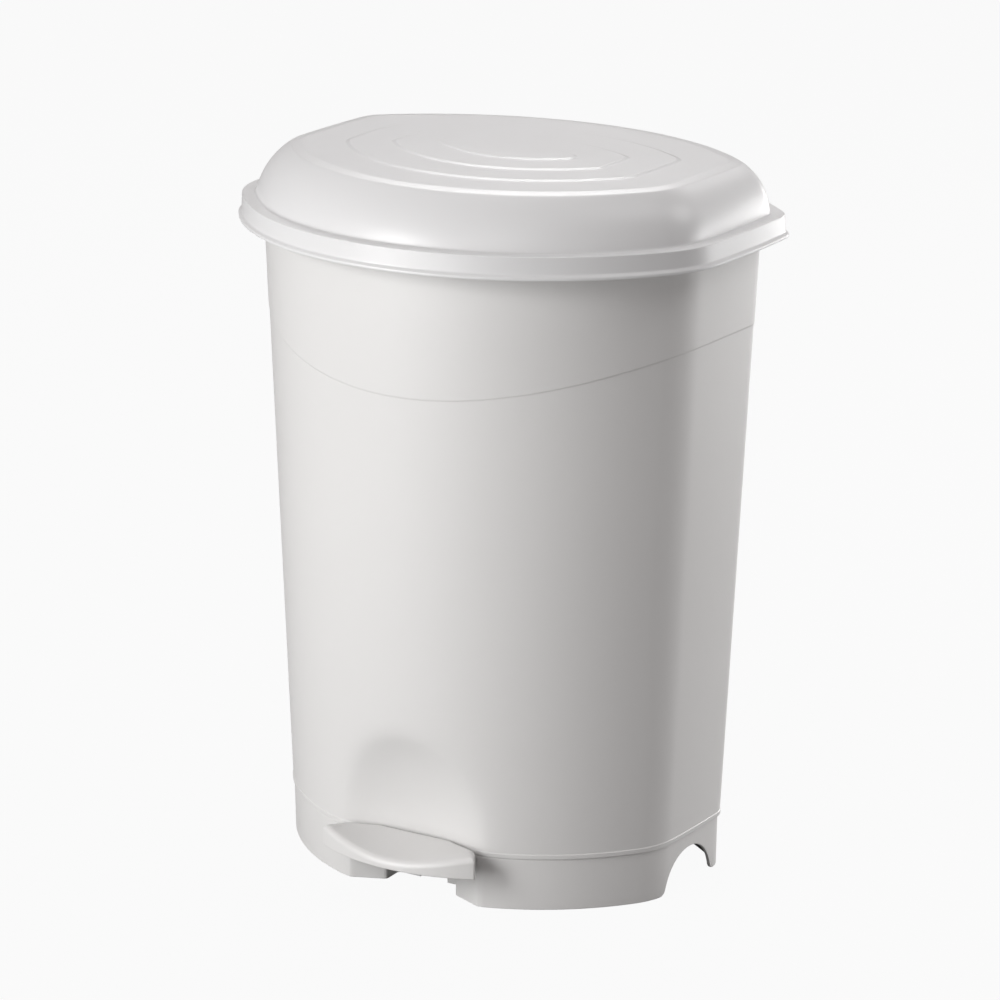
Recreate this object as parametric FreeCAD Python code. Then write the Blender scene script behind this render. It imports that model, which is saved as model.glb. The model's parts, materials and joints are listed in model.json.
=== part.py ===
import FreeCAD, Part
import math
import os

Vector = FreeCAD.Vector
X_AXIS = Vector(1, 0, 0)
Y_AXIS = Vector(0, 1, 0)

# All sizes are in millimetres. The pedal faces -Y, the lid hinge is at +Y, the floor is z = 0.

# Plan outline at the lip of the lid: a front arc, two flat side arcs and a back arc.
# Each is (centre along y, radius); the side arc is (centre x, centre y, radius).
FRONT_ARC = (59.72, 222.87)
SIDE_ARC = (-613.8, 12.4, 811.2)
LID_BACK_ARC = (-105.53, 268.68)
BODY_BACK_ARC = (-114.0, 266.3)
BUCKET_BACK_ARC = (-114.0, 249.3)
FRONT_CORNER = 78.3
BACK_CORNER = 24.0

# Levels
BASE_TOP = 39.2
FLOOR_Z = 62.0
FLOOR_T = 2.5
RIM_Z = 485.0
LIP_Z = 474.2
LEDGE_Z = 490.6
DOME_Z = 525.3
PLATEAU_Z = 526.3
STEP_H = 0.85
STEP_RUN = 2.4

# Walls
BODY_WALL = 2.2
BASE_WALL = 2.4
LID_WALL = 2.2
BUCKET_WALL = 1.8

# Body taper: inset from the lip outline, and shift towards the back, at two levels
BODY_LOW = (BASE_TOP, 34.5, -0.9)
BODY_HIGH = (453.0, 16.9, 4.3)
BASE_INSET_TOP = 36.1
BASE_INSET_BOTTOM = 36.8
BASE_SHIFT = -1.6
BAND_PROUD = 0.5
BAND_RADIUS = 480.0
BAND_LOW_Z = 378.0

# Lid profile
SKIRT_INSET = 2.8
FOOT_INSET = 13.0
DOME_INSET = 34.7
DOME_BULGE = 4.65
DOME_SHIFT = 6.4
PLATEAU_INSET = 43.3
TERRACE_INSETS = (75.0, 108.0, 139.7)

# Lid hinge, push rod and lift horn
HINGE_Y = 149.0
HINGE_Z = 480.5
HINGE_PIN_R = 2.0
LID_TRAVEL = 75.0
HORN_R = 22.0
HORN_NOSE_R = 3.0
ROD_R = 2.5
ROD_TO_WALL = 7.5
ROD_GAP = 0.8

# Bail of the inner bucket, folded flat
BAIL_Z = 468.0
BAIL_BEND = 5.0
BAIL_INSET = 35.6
BAIL_SHIFT = 5.0
BAIL_END_X = 171.7
LUG_X = 168.5

# Opening under each side of the base, flared where it meets the floor
ARCH_R = 33.0
ARCH_Y = 4.0
ARCH_Z = -4.5
ARCH_FLARE = 6.0

# Pedal lever
PIVOT_Y = -26.5
PIVOT_Z = 25.0
PIVOT_R = 3.0
LEVER_REAR = 131.5
NOSE_R = 5.0
LEVER_HALF_W = 7.0
PEDAL_HALF_W = 66.0
PEDAL_FRONT_Y = -154.3
PEDAL_FRONT_R = 141.8
PEDAL_REAR_Y = -115.7
PEDAL_TOP_Z = 46.5
PEDAL_SAG_Z = 36.0
PEDAL_LOW_Z = 29.0
PAD_REAR_Y = -118.0
PEDAL_SCREWS_Y = (-123.0, -132.0)

# Round-topped foot hollow above the pedal: centre (y, z) and half sizes
DISH_CENTRE = (-149.0, 45.0)
DISH_RADII = (98.8, 36.0, 86.0)

ROD_RISE = 2.0 * HORN_R * math.sin(math.radians(LID_TRAVEL / 2.0))
PEDAL_TRAVEL = 2.0 * math.degrees(math.asin(ROD_RISE / (2.0 * LEVER_REAR)))


def save(name, shape):
    """Write one sub-part."""
    shape.exportStep("parts/" + name + ".step")


def arc_between(centre, p, q):
    """The shorter arc from p to q about the centre, all on one level."""
    radius = (p - centre).Length
    middle = (p + q) * 0.5 - centre
    return Part.Arc(p, centre + middle.normalize() * radius, q).toShape()


def corner(first, second, radius, towards_back):
    """Centre and two touching points of a fillet inside two circles (x, y, r)."""
    x1, y1, r1 = first
    x2, y2, r2 = second
    a = r1 - radius
    b = r2 - radius
    span = math.hypot(x2 - x1, y2 - y1)
    along = (a * a - b * b + span * span) / (2.0 * span)
    across = math.sqrt(a * a - along * along)
    ux = (x2 - x1) / span
    uy = (y2 - y1) / span
    ends = [(x1 + along * ux - s * across * uy, y1 + along * uy + s * across * ux) for s in (-1, 1)]
    cx, cy = max(ends, key=lambda e: e[1] if towards_back else -e[1])
    touches = []
    for x, y, r in (first, second):
        length = math.hypot(cx - x, cy - y)
        touches.append((x + (cx - x) / length * r, y + (cy - y) / length * r))
    return (cx, cy), touches[0], touches[1]


def outline(inset, z, shift, back=LID_BACK_ARC):
    """Closed plan outline of eight tangent arcs, moved inward by inset and back by shift."""
    front = (0.0, FRONT_ARC[0] + shift, FRONT_ARC[1] - inset)
    side = (SIDE_ARC[0], SIDE_ARC[1] + shift, SIDE_ARC[2] - inset)
    rear = (0.0, back[0] + shift, back[1] - inset)
    front_fillet = max(FRONT_CORNER - 0.71 * inset, 6.0)
    back_fillet = max(BACK_CORNER - 0.1 * inset, 6.0)
    fc, front_a, front_b = corner(front, side, front_fillet, False)
    bc, back_a, back_b = corner(side, rear, back_fillet, True)

    def at(point, mirrored=False):
        return Vector(-point[0] if mirrored else point[0], point[1], z)

    edges = [
        arc_between(at(front), at(front_a, True), at(front_a)),
        arc_between(at(fc), at(front_a), at(front_b)),
        arc_between(at(side), at(front_b), at(back_a)),
        arc_between(at(bc), at(back_a), at(back_b)),
        arc_between(at(rear), at(back_b), at(back_b, True)),
        arc_between(at(bc, True), at(back_b, True), at(back_a, True)),
        arc_between(at(side, True), at(back_a, True), at(front_b, True)),
        arc_between(at(fc, True), at(front_b, True), at(front_a, True)),
    ]
    return Part.Wire(edges)


def stack(sections, back=LID_BACK_ARC):
    """Solid through a list of (inset, z, shift) sections, one straight ring per pair."""
    wires = [outline(inset, z, shift, back) for inset, z, shift in sections]
    return Part.makeLoft(wires, True, True)


def body_section(z, extra=0.0):
    """Inset and shift of the tapered body at a level."""
    t = (z - BODY_LOW[0]) / (BODY_HIGH[0] - BODY_LOW[0])
    inset = BODY_LOW[1] + t * (BODY_HIGH[1] - BODY_LOW[1])
    shift = BODY_LOW[2] + t * (BODY_HIGH[2] - BODY_LOW[2])
    return inset + extra, z, shift


def body_block(low, high, extra=0.0):
    """Tapered solid with the body's outline."""
    return stack([body_section(low, extra), body_section(high, extra)], BODY_BACK_ARC)


def box(x0, x1, y0, y1, z0, z1):
    """Box between two corners."""
    return Part.makeBox(x1 - x0, y1 - y0, z1 - z0, Vector(x0, y0, z0))


def rod_between(a, b, radius):
    """Cylinder between two points."""
    return Part.makeCylinder(radius, (b - a).Length, a, b - a)


def slab(points, x0, x1):
    """Side profile of (y, z) points drawn out along x."""
    corners = [Vector(x0, y, z) for y, z in points]
    face = Part.Face(Part.makePolygon(corners + corners[:1]))
    return face.extrude(Vector(x1 - x0, 0, 0))


def prism(points, z0, z1):
    """Plan polygon of (x, y) points drawn up along z."""
    corners = [Vector(x, y, z0) for x, y in points]
    face = Part.Face(Part.makePolygon(corners + corners[:1]))
    return face.extrude(Vector(0, 0, z1 - z0))


def foot_dish(grow=0.0):
    """Round-topped hollow above the pedal that gives room for a shoe."""
    scale = FreeCAD.Matrix()
    scale.scale(Vector(*[half + grow for half in DISH_RADII]))
    ball = Part.makeSphere(1.0).transformGeometry(scale)
    ball.translate(Vector(0, *DISH_CENTRE))
    return ball


def rod_axis(z):
    """Point of the push rod's line, which leans with the back wall, at a level."""
    inset, level, shift = body_section(z, BODY_WALL)
    return Vector(0, BODY_BACK_ARC[0] + BODY_BACK_ARC[1] - inset + shift - ROD_TO_WALL, z)


def horn_nose():
    """Centre of the rounded nose that the push rod lifts, with the lid shut."""
    angle = math.radians(LID_TRAVEL / 2.0)
    return HINGE_Y - HORN_R * math.cos(angle), HINGE_Z - HORN_R * math.sin(angle)


def lever_point(along, up=0.0):
    """Point on the lever's centre line at rest, as (y, z)."""
    angle = math.radians(PEDAL_TRAVEL / 2.0)
    y = PIVOT_Y + along * math.cos(angle) + up * math.sin(angle)
    z = PIVOT_Z - along * math.sin(angle) + up * math.cos(angle)
    return y, z


def pedal_top(y):
    """Height of the pedal's sloping top on its middle line."""
    slope = (PEDAL_TOP_Z - PEDAL_SAG_Z) / (PEDAL_REAR_Y - PEDAL_FRONT_Y)
    return PEDAL_TOP_Z - slope * (PEDAL_REAR_Y - y)


def screw_positions():
    """The four screws that hold the body to the base."""
    return [(118, -72), (-118, -72), (112, 72), (-112, 72)]


def outer_body():
    """Tapered outer shell with its raised upper band, foot hollow, floor and rolled rim."""
    band = Part.makeCylinder(BAND_RADIUS, 500, Vector(0, -250, BAND_LOW_Z + BAND_RADIUS), Y_AXIS)
    outer = body_block(BASE_TOP, RIM_Z, BAND_PROUD).fuse(body_block(BASE_TOP, RIM_Z).common(band))
    flange = stack([(10.5, 481.5, 0), (8.5, 482.5, 0), (8.5, RIM_Z, 0)])
    flange = flange.cut(box(-48, 48, 100, 170, 480, RIM_Z + 1))
    outer = outer.cut(foot_dish()).fuse(flange)
    inner = body_block(BASE_TOP - 1, RIM_Z + 1, BODY_WALL + BAND_PROUD).cut(foot_dish(BODY_WALL))
    floor = inner.common(box(-250, 250, -250, 250, FLOOR_Z, FLOOR_Z + FLOOR_T))
    shell = outer.cut(inner).fuse(floor)
    rod = rod_axis(FLOOR_Z)
    shell = shell.cut(Part.makeCylinder(4.0, 10, Vector(rod.x, rod.y, FLOOR_Z - 3)))
    for x, y in screw_positions():
        post = Part.makeCylinder(4.5, FLOOR_Z - BASE_TOP, Vector(x, y, BASE_TOP))
        hole = Part.makeCylinder(1.75, 16, Vector(x, y, BASE_TOP))
        shell = shell.fuse(post).cut(hole)
    return shell.removeSplitter()


def base_hollow(grow=0.0):
    """Dished front bay of the base that the pedal sits in, as a plan polygon."""
    g = grow
    right = [(30 + g, -91 + g), (29.5 + g, -108 + g), (57 + g, -119.2 + g * 0.6), (57 + g, -150)]
    return [(-x, y) for x, y in reversed(right)] + right


def side_arch(x0, x1):
    """Cutter for the flared opening under one side of the base."""
    flare_y = math.sqrt((ARCH_R + ARCH_FLARE) ** 2 - (ARCH_FLARE - ARCH_Z) ** 2)
    centre = Vector(x0, ARCH_Y, ARCH_Z)
    fillets = [Vector(x0, ARCH_Y + s * flare_y, ARCH_FLARE) for s in (-1, 1)]
    joints = [centre + (f - centre).normalize() * ARCH_R for f in fillets]
    feet = [Vector(x0, f.y, 0) for f in fillets]
    below = [Vector(x0, f.y, -1) for f in fillets]
    wire = Part.Wire([
        Part.makeLine(below[0], feet[0]), arc_between(fillets[0], feet[0], joints[0]),
        arc_between(centre, joints[0], joints[1]), arc_between(fillets[1], joints[1], feet[1]),
        Part.makeLine(feet[1], below[1]), Part.makeLine(below[1], below[0])])
    return Part.Face(wire).extrude(Vector(x1 - x0, 0, 0))


def base_plinth():
    """Standing ring with front bay, side arches, inner deck and two webs for the pedal axle."""
    levels = [(BASE_INSET_BOTTOM, 0.0, BASE_SHIFT), (BASE_INSET_TOP, BASE_TOP, BASE_SHIFT)]
    outer = stack(levels, BODY_BACK_ARC)
    outer = outer.cut(prism(base_hollow(), -1, BASE_TOP + 1))
    hollow = stack([(i + BASE_WALL, z, s) for i, z, s in levels], BODY_BACK_ARC)
    hollow = hollow.cut(prism(base_hollow(BASE_WALL), -1, BASE_TOP + 1))
    ring = outer.cut(hollow)
    deck = outer.common(box(-250, 250, -250, 250, BASE_TOP - 2.7, BASE_TOP))
    window = stack([(56, 30, BASE_SHIFT), (56, 45, BASE_SHIFT)], BODY_BACK_ARC)
    deck = deck.cut(window.cut(box(-46, 46, -200, -80, 0, 60)))
    webs = [box(s * 14.5 - 1.5, s * 14.5 + 1.5, -90, 113, 3, BASE_TOP - 2.7) for s in (-1, 1)]
    plinth = ring.fuse([deck] + [web.common(outer) for web in webs])
    plinth = plinth.cut(box(-12, 12, -94, 111.2, 2, BASE_TOP + 1))
    plinth = plinth.cut([side_arch(-180, -120), side_arch(120, 180)])
    plinth = plinth.cut(Part.makeCylinder(PIVOT_R, 60, Vector(-30, PIVOT_Y, PIVOT_Z), X_AXIS))
    for x, y in screw_positions():
        plinth = plinth.cut(Part.makeCylinder(2.2, 10, Vector(x, y, BASE_TOP - 5)))
    return plinth.removeSplitter()


def dome_sections(wall=0.0, count=7):
    """Sections up the bulged side of the lid, for the outer or the inner skin."""
    run = DOME_INSET - FOOT_INSET
    rise = DOME_Z - LEDGE_Z
    chord = math.hypot(run, rise)
    radius = (chord * chord / 4.0 + DOME_BULGE ** 2) / (2.0 * DOME_BULGE)
    back_off = radius - DOME_BULGE
    ci = (FOOT_INSET + DOME_INSET) / 2.0 + back_off * rise / chord
    cz = (LEDGE_Z + DOME_Z) / 2.0 - back_off * run / chord
    start = math.atan2(LEDGE_Z - cz, ci - FOOT_INSET)
    end = math.atan2(DOME_Z - cz, ci - DOME_INSET)
    sections = []
    for i in range(count):
        angle = start + (end - start) * i / (count - 1)
        inset = ci - (radius - wall) * math.cos(angle)
        z = cz + (radius - wall) * math.sin(angle)
        shift = DOME_SHIFT * (z - LEDGE_Z) / rise
        sections.append((inset, z, max(shift, 0.0)))
    return sections


def lid_shell():
    """Domed lid: beaded lip, skirt, ledge, bulged side and a terraced flat top."""
    rim = stack([(0, LIP_Z, 0), (0, LIP_Z + 2, 0), (SKIRT_INSET - 0.6, LIP_Z + 4, 0),
                 (SKIRT_INSET, LEDGE_Z - 1, 0), (SKIRT_INSET + 1, LEDGE_Z, 0)])
    dome = stack([(FOOT_INSET, LEDGE_Z - 1, 0)] + dome_sections())
    tops = [stack([(DOME_INSET, DOME_Z, DOME_SHIFT), (PLATEAU_INSET, PLATEAU_Z, DOME_SHIFT)])]
    for i, inset in enumerate(TERRACE_INSETS):
        foot = PLATEAU_Z + STEP_H * i
        tops.append(stack([(inset, foot - 1, DOME_SHIFT), (inset, foot, DOME_SHIFT),
                           (inset + STEP_RUN, foot + STEP_H, DOME_SHIFT)]))
    outer = rim.fuse([dome] + tops)
    gap = SKIRT_INSET + LID_WALL
    rim_hollow = stack([(gap, LIP_Z - 1, 0), (gap, LEDGE_Z - LID_WALL, 0)])
    inner = dome_sections(LID_WALL)
    foot = (inner[0][0], LEDGE_Z - LID_WALL - 1, 0)
    dome_hollow = stack([foot] + [s for s in inner if s[1] > LEDGE_Z - LID_WALL])
    return outer.cut(rim_hollow.fuse(dome_hollow)).removeSplitter()


def lid_hinge_carrier():
    """Plate under the back of the lid with two hinge ears and the hooked lift horn."""
    top = LEDGE_Z - LID_WALL
    plate = box(-46, 46, 148.6, 153.8, top - 2.5, top)
    ears = []
    for side in (-1, 1):
        x = side * 39.0 - 2.5
        eye = Part.makeCylinder(4.5, 5, Vector(x, HINGE_Y, HINGE_Z), X_AXIS)
        ears.append(eye.fuse(box(x, x + 5, HINGE_Y - 0.2, HINGE_Y + 4.5, HINGE_Z, top)))
    ny, nz = horn_nose()
    inner = ny + HORN_NOSE_R
    arm = slab([(ny - 3, nz), (inner, nz), (inner, 486.6), (154.2, 486.6), (154.2, top),
                (147.6, top), (144.5, 492), (ny - 3, 492)], -7, 7)
    nose = Part.makeCylinder(HORN_NOSE_R, 14, Vector(-7, ny, nz), X_AXIS)
    carrier = plate.fuse(ears + [arm, nose])
    carrier = carrier.cut(Part.makeCylinder(HINGE_PIN_R + 0.06, 100, Vector(-50, HINGE_Y, HINGE_Z), X_AXIS))
    for x in (-15, 15):
        carrier = carrier.cut(Part.makeCylinder(1.6, 8, Vector(x, 151.2, top - 5)))
    return carrier.removeSplitter()


def hinge_bracket():
    """Bracket on the outside of the back wall with two knuckles for the hinge pin."""
    plate = box(-36, 36, 130, 142.8, 446, 477)
    parts = [plate]
    for side in (-1, 1):
        x = side * 28.0 - 6.0
        parts.append(Part.makeCylinder(4.5, 12, Vector(x, HINGE_Y, HINGE_Z), X_AXIS))
        parts.append(slab([(138, 474), (142.8, 474), (HINGE_Y, 476.2), (HINGE_Y, HINGE_Z + 4.4),
                           (141.8, HINGE_Z + 3.5), (138, HINGE_Z - 1.5)], x, x + 12))
    bracket = parts[0].fuse(parts[1:]).cut(body_block(430, 486))
    bracket = bracket.cut(Part.makeCylinder(HINGE_PIN_R, 100, Vector(-50, HINGE_Y, HINGE_Z), X_AXIS))
    for x in (-20, 20):
        bracket = bracket.cut(rod_between(Vector(x, 120, 456), Vector(x, 150, 456), 1.75))
    return bracket.removeSplitter()


def bracket_screws():
    """Two pan-head screws through the hinge bracket."""
    screws = []
    for x in (-20, 20):
        shank = rod_between(Vector(x, 139.4, 456), Vector(x, 143.5, 456), 1.7)
        head = rod_between(Vector(x, 142.8, 456), Vector(x, 144.2, 456), 3.2)
        screws.append(head.fuse(shank))
    return Part.makeCompound(screws)


def carrier_screws():
    """Two pan-head screws that hold the hinge carrier up to the lid."""
    top = LEDGE_Z - LID_WALL
    screws = []
    for x in (-15, 15):
        shank = Part.makeCylinder(1.55, 2.5, Vector(x, 151.2, top - 2.5))
        head = Part.makeCylinder(2.6, 1.6, Vector(x, 151.2, top - 4.1))
        screws.append(head.fuse(shank))
    return Part.makeCompound(screws)


def hinge_pin():
    """Steel pin through the knuckles and the ears."""
    return Part.makeCylinder(HINGE_PIN_R, 85, Vector(-42.5, HINGE_Y, HINGE_Z), X_AXIS)


def lid_buffers():
    """Four soft pads under the ledge that land on the body's rim."""
    top = LEDGE_Z - LID_WALL
    spots = [(100, -125.5), (-100, -125.5), (185, 20), (-185, 20)]
    return Part.makeCompound([Part.makeCylinder(2.6, top - RIM_Z - 0.2, Vector(x, y, RIM_Z + 0.2))
                              for x, y in spots])


def bucket_levels(extra=0.0):
    """Sections of the inner bucket from its floor to its rim."""
    return [(56 + extra, 64.8, -1.0), (49 + extra, 200, 1.2), (25.5 + extra, 462, 5.0)]


def inner_bucket():
    """Lift-out bucket with a turned rim and two lugs for the bail."""
    outer = stack(bucket_levels(), BUCKET_BACK_ARC)
    rim = stack([(24.5, 458, 5.0), (21.5, 460, 5.0), (21.5, 462, 5.0)], BUCKET_BACK_ARC)
    levels = bucket_levels(BUCKET_WALL)
    levels[0] = (levels[0][0], 67.0, levels[0][2])
    levels[-1] = (levels[-1][0], 463, levels[-1][2])
    bucket = outer.fuse(rim).cut(stack(levels, BUCKET_BACK_ARC))
    for side in (-1, 1):
        lug = slab([(-7, 455), (7, 455), (7, 468), (4.5, 472.5), (-4.5, 472.5), (-7, 468)],
                   side * LUG_X - 2, side * LUG_X + 2)
        bucket = bucket.fuse(lug)
    bore = Part.makeCylinder(2.1, 400, Vector(-200, 0, BAIL_Z), X_AXIS)
    return bucket.cut(bore).removeSplitter()


def bail_path():
    """Centre line of the folded bail: stub, side, corner, front and back again."""
    front = (0.0, FRONT_ARC[0] + BAIL_SHIFT, FRONT_ARC[1] - BAIL_INSET)
    side = (SIDE_ARC[0], SIDE_ARC[1] + BAIL_SHIFT, SIDE_ARC[2] - BAIL_INSET)
    fc, front_a, front_b = corner(front, side, 62.0, False)
    side_x = side[0] + math.sqrt(side[2] ** 2 - (BAIL_BEND + side[1]) ** 2)
    return [Vector(fc[0], fc[1], BAIL_Z), Vector(front_a[0], front_a[1], BAIL_Z),
            Vector(front_b[0], front_b[1], BAIL_Z), Vector(side_x, -BAIL_BEND, BAIL_Z),
            Vector(side_x + BAIL_BEND, 0, BAIL_Z)]


def bucket_bail():
    """Bent wire handle, folded down over the front rim of the bucket."""
    fc, front_a, front_b, stub, turn = bail_path()
    end = Vector(BAIL_END_X, 0, BAIL_Z)
    knee = Vector(turn.x, stub.y, BAIL_Z)

    def flip(v):
        return Vector(-v.x, v.y, v.z)

    centre = Vector(0, FRONT_ARC[0] + BAIL_SHIFT, BAIL_Z)
    side_centre = Vector(SIDE_ARC[0], SIDE_ARC[1] + BAIL_SHIFT, BAIL_Z)
    right = [Part.makeLine(end, turn), arc_between(knee, turn, stub), arc_between(side_centre, stub, front_b),
             arc_between(fc, front_b, front_a)]
    left = [arc_between(flip(fc), flip(front_a), flip(front_b)),
            arc_between(flip(side_centre), flip(front_b), flip(stub)),
            arc_between(flip(knee), flip(stub), flip(turn)), Part.makeLine(flip(turn), flip(end))]
    path = Part.Wire(right + [arc_between(centre, front_a, flip(front_a))] + left)
    ring = Part.Wire(Part.makeCircle(2.0, end, X_AXIS))
    wire = path.makePipeShell([ring], True, False)
    reach = BAIL_END_X - 1.1
    heads = [Part.makeCylinder(3.0, 1.5, Vector(x, 0, BAIL_Z), X_AXIS) for x in (reach, -reach - 1.5)]
    return wire.fuse(heads)


def bail_grip():
    """Tube grip on the middle of the bail, following its front arc."""
    centre = Vector(0, FRONT_ARC[0] + BAIL_SHIFT, BAIL_Z)
    radius = FRONT_ARC[1] - BAIL_INSET
    reach = math.radians(13)
    ends = [centre + Vector(s * radius * math.sin(reach), -radius * math.cos(reach), 0) for s in (1, -1)]
    path = Part.Wire(arc_between(centre, ends[0], ends[1]))
    along = Vector(math.cos(reach), math.sin(reach), 0)
    rings = [Part.Wire(Part.makeCircle(r, ends[0], along)) for r in (5.5, 2.0)]
    solids = [path.makePipeShell([ring], True, False) for ring in rings]
    return solids[0].cut(solids[1])


def pedal_outline(inset, z):
    """Plan outline of the pedal: bowed front, blunt tips, cut-back ends and a straight rear."""
    centre = Vector(0, PEDAL_FRONT_Y + PEDAL_FRONT_R, z)
    tip_x = PEDAL_HALF_W - 2.0 - 1.4 * inset
    tip = Vector(tip_x, centre.y - math.sqrt((PEDAL_FRONT_R - inset) ** 2 - tip_x ** 2), z)
    out = tip + Vector(1.6, 3.0, 0)
    end = Vector(57.0 - 1.2 * inset, PEDAL_REAR_Y - 7.8 - 0.5 * inset, z)
    back = Vector(30, PEDAL_REAR_Y - inset, z)

    def flip(v):
        return Vector(-v.x, v.y, v.z)

    chain = [tip, out, end, back, flip(back), flip(end), flip(out), flip(tip)]
    edges = [arc_between(centre, flip(tip), tip)]
    edges += [Part.makeLine(p, q) for p, q in zip(chain, chain[1:])]
    return Part.Wire(edges)


def pedal_dish(lower=0.0):
    """Tool over the pedal's top: level at the rear, sagging to the middle of the front."""
    wires = []
    for y, sag in ((PEDAL_REAR_Y + 5, -1.4), (PEDAL_FRONT_Y - 5, 11.9)):
        z = PEDAL_TOP_Z - lower
        ends = [Vector(-70, y, z), Vector(70, y, z)]
        low = Part.Arc(ends[0], Vector(0, y, z - sag), ends[1]).toShape()
        up = [Vector(70, y, 80), Vector(-70, y, 80)]
        sides = [Part.makeLine(ends[1], up[0]), Part.makeLine(up[0], up[1]), Part.makeLine(up[1], ends[0])]
        wires.append(Part.Wire([low] + sides))
    return Part.makeLoft(wires, True, True)


def pedal_plate():
    """Foot plate: dished top, wrapped skirt and a pad that the lever is screwed to."""
    rise = Vector(0, 0, PEDAL_TOP_Z + 2 - PEDAL_LOW_Z)
    outer = Part.Face(pedal_outline(0, PEDAL_LOW_Z)).extrude(rise).cut(pedal_dish())
    inner = Part.Face(pedal_outline(2.6, PEDAL_LOW_Z - 1)).extrude(rise).cut(pedal_dish(2.7))
    front = PAD_REAR_Y - 20
    pad = slab([(PAD_REAR_Y, pedal_top(PAD_REAR_Y) - 2), (front, pedal_top(front) - 2),
                (front, pedal_top(front) - 6.7), (PAD_REAR_Y, pedal_top(PAD_REAR_Y) - 6.7)], -10, 10)
    notch = box(-7.6, 7.6, PAD_REAR_Y - 3, PEDAL_REAR_Y + 6, PEDAL_LOW_Z - 1, pedal_top(PAD_REAR_Y) - 6.7)
    plate = outer.cut(inner).cut(notch).fuse(pad)
    for y in PEDAL_SCREWS_Y:
        plate = plate.cut(pedal_screw_hole(y, 1.5, 5.2))
    return plate.removeSplitter()


def pedal_screw_hole(y, radius, depth):
    """Hole square to the pedal's slope, measured up from the lever's top face."""
    slope = math.atan2(PEDAL_TOP_Z - PEDAL_SAG_Z, PEDAL_REAR_Y - PEDAL_FRONT_Y)
    axis = Vector(0, -math.sin(slope), math.cos(slope))
    start = Vector(0, y, pedal_top(y) - 6.7)
    return rod_between(start - axis * 5.0, start + axis * depth, radius)


def pedal_lever():
    """Moulded lever from the pedal, over the axle, to the nose below the push rod."""
    rear = lever_point(LEVER_REAR)
    tip = PAD_REAR_Y - 17
    spine = [lever_point(LEVER_REAR, NOSE_R), lever_point(0, 7), lever_point(-86, 4.6),
             (PAD_REAR_Y, pedal_top(PAD_REAR_Y) - 6.7), (tip, pedal_top(tip) - 6.7),
             (tip, pedal_top(tip) - 10.6), (PAD_REAR_Y, pedal_top(PAD_REAR_Y) - 11.2),
             lever_point(-86, -5.0), lever_point(0, -7), lever_point(LEVER_REAR, -NOSE_R)]
    lever = slab(spine, -LEVER_HALF_W, LEVER_HALF_W)
    width = 2 * LEVER_HALF_W
    nose = Part.makeCylinder(NOSE_R, width, Vector(-LEVER_HALF_W, rear[0], rear[1]), X_AXIS)
    boss = Part.makeCylinder(8.5, width, Vector(-LEVER_HALF_W, PIVOT_Y, PIVOT_Z), X_AXIS)
    lever = lever.fuse([nose, boss])
    for x0, x1 in ((-8, -2), (2, 8)):
        pocket = slab([lever_point(18, 4.2), lever_point(118, 2.6), lever_point(118, -2.6),
                       lever_point(18, -4.2)], x0, x1)
        lever = lever.cut(pocket)
    lever = lever.cut(Part.makeCylinder(PIVOT_R + 0.06, 40, Vector(-20, PIVOT_Y, PIVOT_Z), X_AXIS))
    for y in PEDAL_SCREWS_Y:
        lever = lever.cut(pedal_screw_hole(y, 1.7, 0.5))
    return lever.removeSplitter()


def pedal_screws():
    """Two screws from below through the lever into the pedal."""
    slope = math.atan2(PEDAL_TOP_Z - PEDAL_SAG_Z, PEDAL_REAR_Y - PEDAL_FRONT_Y)
    axis = Vector(0, -math.sin(slope), math.cos(slope))
    screws = []
    for y in PEDAL_SCREWS_Y:
        top = Vector(0, y, pedal_top(y) - 6.7)
        under = top - axis * (4.5 if y == PEDAL_SCREWS_Y[0] else 4.1)
        screws.append(rod_between(under, top + axis * 4.5, 1.5).fuse(rod_between(under - axis * 1.8, under, 3.0)))
    return Part.makeCompound(screws)


def pedal_axle():
    """Steel pin across the two webs of the base."""
    return Part.makeCylinder(PIVOT_R, 42, Vector(-21, PIVOT_Y, PIVOT_Z), X_AXIS)


def axle_clips():
    """Two push-on rings that keep the axle in the webs."""
    clips = []
    for x in (-18.0, 16.6):
        ring = Part.makeCylinder(6.0, 1.4, Vector(x, PIVOT_Y, PIVOT_Z), X_AXIS)
        clips.append(ring.cut(Part.makeCylinder(PIVOT_R, 1.4, Vector(x, PIVOT_Y, PIVOT_Z), X_AXIS)))
    return Part.makeCompound(clips)


def base_screws():
    """Four screws from under the deck into the body's posts."""
    under = BASE_TOP - 2.7
    return Part.makeCompound([
        Part.makeCylinder(1.7, 14, Vector(x, y, under)).fuse(
            Part.makeCylinder(4.0, 2.2, Vector(x, y, under - 2.2)))
        for x, y in screw_positions()])


def rod_low_z():
    """Level of the flat underside of the rod's foot."""
    return lever_point(LEVER_REAR)[1] + NOSE_R + ROD_GAP


def rod_high_z():
    """Level of the flat top of the rod's head."""
    return horn_nose()[1] - HORN_NOSE_R - ROD_GAP


def push_rod():
    """Steel rod up the back wall, between its foot and its head."""
    return rod_between(rod_axis(rod_low_z() + 4), rod_axis(rod_high_z() - 4), ROD_R)


def rod_foot():
    """Plastic shoe that rests over the lever's nose."""
    low = rod_low_z()
    block = box(-7, 7, 100.3, 109.9, low, low + 12)
    return block.cut(rod_between(rod_axis(low + 4), rod_axis(low + 20), ROD_R))


def rod_head():
    """Plastic cap that lifts the lid's horn."""
    high = rod_high_z()
    block = box(-7, 7, 124.2, 136.0, high - 13, high)
    return block.cut(rod_between(rod_axis(high - 30), rod_axis(high - 4), ROD_R))


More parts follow.
